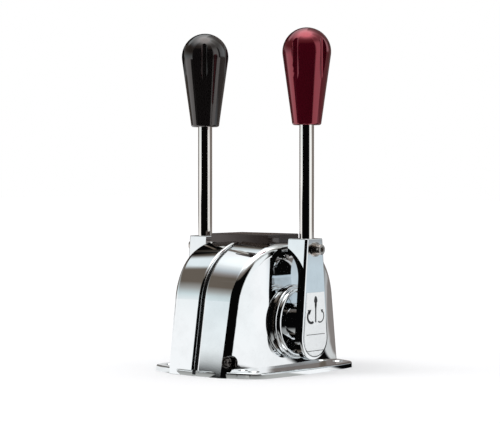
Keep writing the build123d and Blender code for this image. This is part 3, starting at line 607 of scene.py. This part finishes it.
REAR_CARD = (
    (-0.90, LEAD), (-0.74, ASH), (0.0, SLATE), (0.08, BROWN), (0.30, BROWN), (0.60, PALE), (1.10, GREY),
    (3.4, PALE),
)
BACK_WALL = (
    (-0.90, BLACK), (-0.82, SOOT), (-0.74, LEAD), (0.0, LEAD), (0.12, TAUPE), (0.50, SOOT), (0.65, TAUPE),
    (1.00, TAUPE), (1.60, GREY), (3.4, WHITE),
)
DARK_DOOR = (
    (-0.90, GREY), (-0.60, SOOT), (-0.05, SOOT), (0.0, WHITE), (0.09, WHITE), (0.12, SOOT), (0.50, BLACK),
    (0.80, BLACK), (0.88, BROWN), (0.98, PALE), (1.30, WHITE),
)
BACK_LEFT = (
    (-0.90, GREY), (-0.70, WHITE), (0.06, WHITE), (0.10, BROWN), (0.30, SOOT), (0.50, BLACK), (0.80, BLACK),
    (0.88, BROWN), (0.98, PALE), (1.30, WHITE),
)
# Start and end angle round the part in degrees, how soft each of the two edges is, and the tones.
# Outside these sectors the cloth has the tones of FAR_LEFT.
SURROUND_SECTORS = (
    (-168.0, -129.0, 5.0, 2.5, LEFT_CARD),
    (-129.0, -117.5, 2.5, 1.2, LEFT_EDGE),
    (-117.5, -7.0, 1.2, 5.0, FRONT_FLAG),
    (-7.0, 24.0, 5.0, 3.0, RIGHT_CARD),
    (24.0, 34.0, 3.0, 4.0, DARK_STRIP),
    (34.0, 69.0, 4.0, 2.0, SIDE_CARD),
    (69.0, 74.5, 2.0, 1.5, REAR_CARD),
    (74.5, 124.0, 1.5, 3.0, BACK_WALL),
    (124.0, 153.0, 3.0, 3.0, DARK_DOOR),
    (153.0, 168.0, 3.0, 6.0, BACK_LEFT),
)


class CONTROL_OT_studio(bpy.types.Operator):
    """Floor, surrounding light, key light, cards and flags in the reflections, and camera"""

    bl_idname = "control.studio"
    bl_label = "Studio"

    def seen_by(self, tree, *rays):
        """1 for any of the named kinds of ray, else 0."""
        paths = add_node(tree, "ShaderNodeLightPath")
        seen = paths.outputs[rays[0]]
        for ray in rays[1:]:
            seen = calculate(tree, "MAXIMUM", seen, paths.outputs[ray])
        return seen

    def world(self, settings):
        """Soft white light all round, and plain white to the camera and in metal and glass."""
        world = bpy.data.worlds.new("studio")
        bpy.context.scene.world = world
        world.use_nodes = True
        tree = world.node_tree
        tree.nodes.clear()
        clear = self.seen_by(tree, "Is Camera Ray", "Is Glossy Ray", "Is Transmission Ray")
        soft = add_node(tree, "ShaderNodeBackground", {"Color": OPEN_WHITE, "Strength": settings.ambient})
        plain = add_node(tree, "ShaderNodeBackground", {"Color": OPEN_WHITE})
        mix = add_node(tree, "ShaderNodeMixShader", {0: clear, 1: soft.outputs[0], 2: plain.outputs[0]})
        add_node(tree, "ShaderNodeOutputWorld", {"Surface": mix.outputs[0]})

    def floor(self):
        """Pale floor that keeps the shadow and is white to the camera and in reflections."""
        bpy.ops.mesh.primitive_plane_add(size=FLOOR_SIZE, location=(0.0, 0.0, 0.0))
        floor = bpy.context.active_object
        floor.name = "studio_floor"
        material = bpy.data.materials.new("floor_white")
        material.use_nodes = True
        tree = material.node_tree
        seen = self.seen_by(tree, "Is Camera Ray", "Is Glossy Ray")
        lift = calculate(tree, "MULTIPLY", seen, FLOOR_LIFT)
        feed(tree, tree.nodes["Principled BSDF"], {
            "Base Color": FLOOR_TONE, "Roughness": FLOOR_ROUGHNESS, "Specular IOR Level": 0.0,
            "Emission Color": OPEN_WHITE, "Emission Strength": lift,
        })
        floor.data.materials.append(material)

    def glowing(self, name):
        """Material with no nodes yet, for a cloth that gives light of its own."""
        material = bpy.data.materials.new(name)
        material.use_nodes = True
        material.node_tree.nodes.clear()
        return material, material.node_tree

    def glow(self, tree, colour, strength):
        """Ends a glowing material with its light and output."""
        light = add_node(tree, "ShaderNodeEmission", {"Color": colour, "Strength": strength})
        add_node(tree, "ShaderNodeOutputMaterial", {"Surface": light.outputs[0]})

    def sector(self, tree, turn, start, end, soft_start, soft_end):
        """1 between two angles round the part, in degrees, with soft ends."""
        fades = []
        for edge, soft in ((start, soft_start), (end, -soft_end)):
            low, high = math.radians(edge - soft), math.radians(edge + soft)
            fades.append(map_range(tree, turn, low, high, interpolation="SMOOTHSTEP"))
        return calculate(tree, "MULTIPLY", *fades)

    def cloth_ramp(self, tree, share, radius, stops):
        """Tone along the cloth, from the middle of the table to the top of the wall."""
        ramp = add_node(tree, "ShaderNodeValToRGB", {"Fac": share})
        elements = ramp.color_ramp.elements
        elements.remove(elements[1])
        for index, (level, tone) in enumerate(stops):
            position = (level + radius) / (radius + SURROUND_HEIGHT)
            element = elements[0] if index == 0 else elements.new(position)
            element.position = position
            element.color = (*tone, 1.0)
        return ramp.outputs["Color"]

    def surround_cloth(self, settings):
        """White cards, a black flag and brown studio walls as one glowing cloth."""
        radius = settings.surround_radius
        material, tree = self.glowing("surround_cloth")
        place = add_node(tree, "ShaderNodeTexCoord").outputs["Object"]
        split = add_node(tree, "ShaderNodeSeparateXYZ", {0: place})
        turn = calculate(tree, "ARCTAN2", split.outputs["Y"], split.outputs["X"])
        flat = add_node(tree, "ShaderNodeVectorMath", {0: place, 1: (1.0, 1.0, 0.0)}, operation="MULTIPLY")
        reach = add_node(tree, "ShaderNodeVectorMath", {0: flat.outputs[0]}, operation="LENGTH")
        run = calculate(tree, "ADD", reach.outputs["Value"], split.outputs["Z"])
        share = calculate(tree, "DIVIDE", run, radius + SURROUND_HEIGHT)
        tone = self.cloth_ramp(tree, share, radius, FAR_LEFT)
        for start, end, soft_start, soft_end, stops in SURROUND_SECTORS:
            within = self.sector(tree, turn, start, end, soft_start, soft_end)
            tone = blend(tree, within, tone, self.cloth_ramp(tree, share, radius, stops))
        rise = map_range(tree, split.outputs["Z"], BRIGHT_FROM, BRIGHT_TO, 1.0, settings.ceiling_strength)
        self.glow(tree, tone, rise)
        return material

    def reflected_only(self, piece):
        """Leaves a stage piece in reflections alone."""
        for ray in ("camera", "diffuse", "shadow", "transmission", "volume_scatter"):
            setattr(piece, "visible_" + ray, False)

    def round_sheet(self, name, radius, z):
        """Flat disc round the part's axis, for the table and the ceiling."""
        bpy.ops.mesh.primitive_circle_add(
            vertices=SURROUND_STEPS, radius=radius, fill_type="NGON", location=(0.0, 0.0, z),
        )
        sheet = bpy.context.active_object
        sheet.name = name
        return sheet

    def surround(self, settings):
        """Round wall and table cloth that only reflections see."""
        cloth = self.round_sheet("studio_surround", settings.surround_radius, 0.0)
        bpy.ops.object.mode_set(mode="EDIT")
        bpy.ops.mesh.select_all(action="SELECT")
        bpy.ops.mesh.region_to_loop()
        bpy.ops.mesh.extrude_edges_move(TRANSFORM_OT_translate={"value": (0.0, 0.0, SURROUND_HEIGHT)})
        bpy.ops.mesh.select_all(action="SELECT")
        bpy.ops.transform.translate(value=(0.0, 0.0, CLOTH_LIFT))
        bpy.ops.object.mode_set(mode="OBJECT")
        cloth.data.materials.append(self.surround_cloth(settings))
        self.reflected_only(cloth)

    def ceiling(self, settings):
        """Bright panel over the part, for the glints on the knobs and the crown."""
        panel = self.round_sheet("studio_ceiling", settings.surround_radius, SURROUND_HEIGHT)
        material, tree = self.glowing("ceiling_glow")
        self.glow(tree, OPEN_WHITE, settings.ceiling_strength)
        panel.data.materials.append(material)
        self.reflected_only(panel)

    def key(self, settings):
        """Soft sun from the front left, kept out of reflections."""
        bpy.ops.object.light_add(type="SUN")
        key = bpy.context.active_object
        key.name = "key_light"
        key.data.energy = settings.key_strength
        key.data.angle = math.radians(KEY_SPREAD)
        key.rotation_mode = "QUATERNION"
        key.rotation_quaternion = Vector(KEY_DIRECTION).to_track_quat("-Z", "Y")
        key.visible_glossy = False

    def camera(self):
        """Long lens from the front right, a little over half the height up."""
        bpy.ops.object.camera_add(location=CAMERA_PLACE)
        camera = bpy.context.active_object
        camera.name = "product_camera"
        camera.rotation_euler = (math.radians(90.0 + CAMERA_PITCH), 0.0, math.radians(CAMERA_YAW))
        camera.data.lens = CAMERA_LENS
        camera.data.sensor_width = CAMERA_SENSOR
        camera.data.clip_start = CAMERA_NEAR
        camera.data.clip_end = CAMERA_FAR
        bpy.context.scene.camera = camera

    def execute(self, context):
        settings = context.scene.control_studio
        bpy.ops.object.select_all(action="DESELECT")
        self.world(settings)
        self.floor()
        self.surround(settings)
        self.ceiling(settings)
        self.key(settings)
        self.camera()
        context.scene.view_settings.view_transform = "Standard"
        return {"FINISHED"}


# ---- Panel and registration ------------------------------------------------------------------
OPERATORS = (
    CONTROL_OT_housing_finish,
    CONTROL_OT_lever_finish,
    CONTROL_OT_knob_finish,
    CONTROL_OT_label,
    CONTROL_OT_studio,
)
SETTINGS = {
    "control_housing": ControlHousingSettings,
    "control_lever": ControlLeverSettings,
    "control_label": ControlLabelSettings,
    "control_studio": ControlStudioSettings,
}


class CONTROL_PT_panel(bpy.types.Panel):
    bl_idname = "CONTROL_PT_panel"
    bl_label = "Control Head"
    bl_space_type = "VIEW_3D"
    bl_region_type = "UI"
    bl_category = "Control Head"

    def draw(self, context):
        for name, group in SETTINGS.items():
            box = self.layout.box()
            for prop in group.__annotations__:
                box.prop(getattr(context.scene, name), prop)
        for operator in OPERATORS:
            self.layout.operator(operator.bl_idname)


def register():
    for group in SETTINGS.values():
        bpy.utils.register_class(group)
    for operator in OPERATORS:
        bpy.utils.register_class(operator)
    bpy.utils.register_class(CONTROL_PT_panel)
    for name, group in SETTINGS.items():
        setattr(bpy.types.Scene, name, bpy.props.PointerProperty(type=group))


def unregister():
    for name in SETTINGS:
        delattr(bpy.types.Scene, name)
    bpy.utils.unregister_class(CONTROL_PT_panel)
    for operator in reversed(OPERATORS):
        bpy.utils.unregister_class(operator)
    for group in SETTINGS.values():
        bpy.utils.unregister_class(group)


def main():
    register()
    bpy.ops.control.housing_finish()
    bpy.ops.control.lever_finish()
    bpy.ops.control.knob_finish()
    bpy.ops.control.label()
    bpy.ops.control.studio()


if __name__ == "__main__":
    main()
